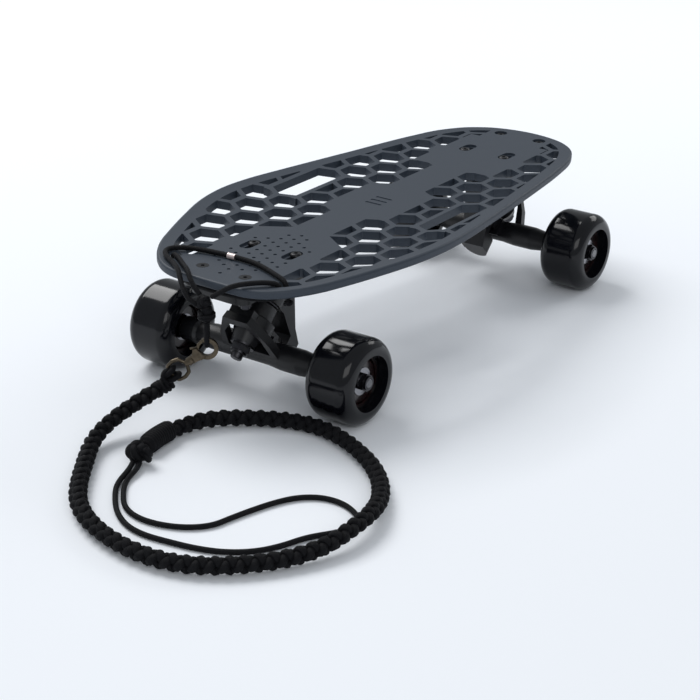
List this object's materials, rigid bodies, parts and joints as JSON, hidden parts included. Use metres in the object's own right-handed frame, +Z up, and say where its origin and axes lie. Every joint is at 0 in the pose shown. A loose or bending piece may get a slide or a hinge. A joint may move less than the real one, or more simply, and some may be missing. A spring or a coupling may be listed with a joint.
{
  "type": "skateboard",
  "caption": "Short push skateboard with a honeycomb deck of moulded plastic, steering trucks, urethane wheels and a braided leash snapped to a cord lashed round its tail.",
  "frame": {"origin": "on the floor, under the middle of the deck", "axes": "+X towards the nose, +Y to the left, +Z up"},
  "size_m": [0.6868, 0.324, 0.1218],
  "materials": {
    "deck_plastic": "moulded, fine satin grain",
    "bolt_steel": "black oxide",
    "riser_rubber": "matte",
    "truck_metal": "satin black powder coat",
    "cup_urethane": "satin",
    "bushing_urethane": "satin",
    "axle_steel": "zinc plated",
    "dark_steel": "dark zinc",
    "bearing_steel": "polished",
    "tyre_urethane": "satin",
    "core_plastic": "gloss, very dark maroon",
    "snap_metal": "antique brass, darkened",
    "cord_nylon": "fine woven sheath",
    "braid_cord": "braided cord, woven sheath",
    "crimp_metal": "satin"
  },
  "bodies": {
    "board": {"braid": "braid_cord", "braid_head": "braid_cord", "button_bolts": "bolt_steel", "cord_crimp": "crimp_metal", "deck": "deck_plastic", "end_knot": "cord_nylon", "flush_bolts": "bolt_steel", "front_baseplate": "truck_metal", "front_bushing_boardside": "bushing_urethane", "front_bushing_roadside": "bushing_urethane", "front_bushing_washers": "dark_steel", "front_kingpin": "dark_steel", "front_kingpin_nut": "dark_steel", "front_pivot_cup": "cup_urethane", "front_riser": "riser_rubber", "lashing_knot": "cord_nylon", "lock_nuts": "dark_steel", "rear_band": "cord_nylon", "rear_baseplate": "truck_metal", "rear_bushing_boardside": "bushing_urethane", "rear_bushing_roadside": "bushing_urethane", "rear_bushing_washers": "dark_steel", "rear_kingpin": "dark_steel", "rear_kingpin_nut": "dark_steel", "rear_pivot_cup": "cup_urethane", "rear_riser": "riser_rubber", "snap_loop": "cord_nylon", "swivel_ring": "snap_metal", "top_band": "cord_nylon", "whipping": "cord_nylon", "wrist_loop": "cord_nylon"},
    "front_truck": {"front_axle": "axle_steel", "front_axle_nuts": "dark_steel", "front_bearing_balls": "bearing_steel", "front_bearing_inners": "bearing_steel", "front_bearing_spacers": "axle_steel", "front_hanger": "truck_metal", "front_speed_washers": "axle_steel"},
    "rear_truck": {"rear_axle": "axle_steel", "rear_axle_nuts": "dark_steel", "rear_bearing_balls": "bearing_steel", "rear_bearing_inners": "bearing_steel", "rear_bearing_spacers": "axle_steel", "rear_hanger": "truck_metal", "rear_speed_washers": "axle_steel"},
    "snap": {"snap_hook": "snap_metal", "gate_pin": "snap_metal"},
    "gate": {"snap_gate": "snap_metal"},
    "front_left_wheel": {"front_left_tyre": "tyre_urethane", "front_left_core": "core_plastic", "front_left_bearing_outers": "bearing_steel"},
    "front_right_wheel": {"front_right_tyre": "tyre_urethane", "front_right_core": "core_plastic", "front_right_bearing_outers": "bearing_steel"},
    "rear_left_wheel": {"rear_left_tyre": "tyre_urethane", "rear_left_core": "core_plastic", "rear_left_bearing_outers": "bearing_steel"},
    "rear_right_wheel": {"rear_right_tyre": "tyre_urethane", "rear_right_core": "core_plastic", "rear_right_bearing_outers": "bearing_steel"}
  },
  "joints": [
    {"name": "front_steer", "type": "hinge", "parent": "board", "child": "front_truck", "pos_m": [0.186, 0, 0.059], "axis": [0.7071, 0, 0.7071], "range_deg": [-18, 18], "stiffness_Nm_per_rad": 25, "deforming": ["front_bushing_boardside", "front_bushing_roadside"]},
    {"name": "front_left_spin", "type": "hinge", "parent": "front_truck", "child": "front_left_wheel", "pos_m": [0.179, 0.08835, 0.035], "axis": [0, 1, 0], "continuous": true},
    {"name": "front_right_spin", "type": "hinge", "parent": "front_truck", "child": "front_right_wheel", "pos_m": [0.179, -0.08835, 0.035], "axis": [0, 1, 0], "continuous": true},
    {"name": "rear_steer", "type": "hinge", "parent": "board", "child": "rear_truck", "pos_m": [-0.184, 0, 0.059], "axis": [-0.7071, 0, 0.7071], "range_deg": [-18, 18], "stiffness_Nm_per_rad": 25, "deforming": ["rear_bushing_boardside", "rear_bushing_roadside", "braid", "wrist_loop"]},
    {"name": "rear_left_spin", "type": "hinge", "parent": "rear_truck", "child": "rear_left_wheel", "pos_m": [-0.177, 0.08835, 0.035], "axis": [0, 1, 0], "continuous": true},
    {"name": "rear_right_spin", "type": "hinge", "parent": "rear_truck", "child": "rear_right_wheel", "pos_m": [-0.177, -0.08835, 0.035], "axis": [0, 1, 0], "continuous": true},
    {"name": "snap_swivel", "type": "hinge", "parent": "board", "child": "snap", "pos_m": [-0.2577, 0.00376, 0.05157], "axis": [-0.4459, 0.6392, -0.6266], "range_deg": [-25, 25], "deforming": ["snap_loop"]},
    {"name": "snap_gate", "type": "hinge", "parent": "snap", "child": "gate", "pos_m": [-0.25436, -0.00103, 0.06217], "axis": [0.8202, 0.5721, 0], "range_deg": [-30, 0], "stiffness_Nm_per_rad": 0.01, "springref_deg": 11.46}
  ]
}
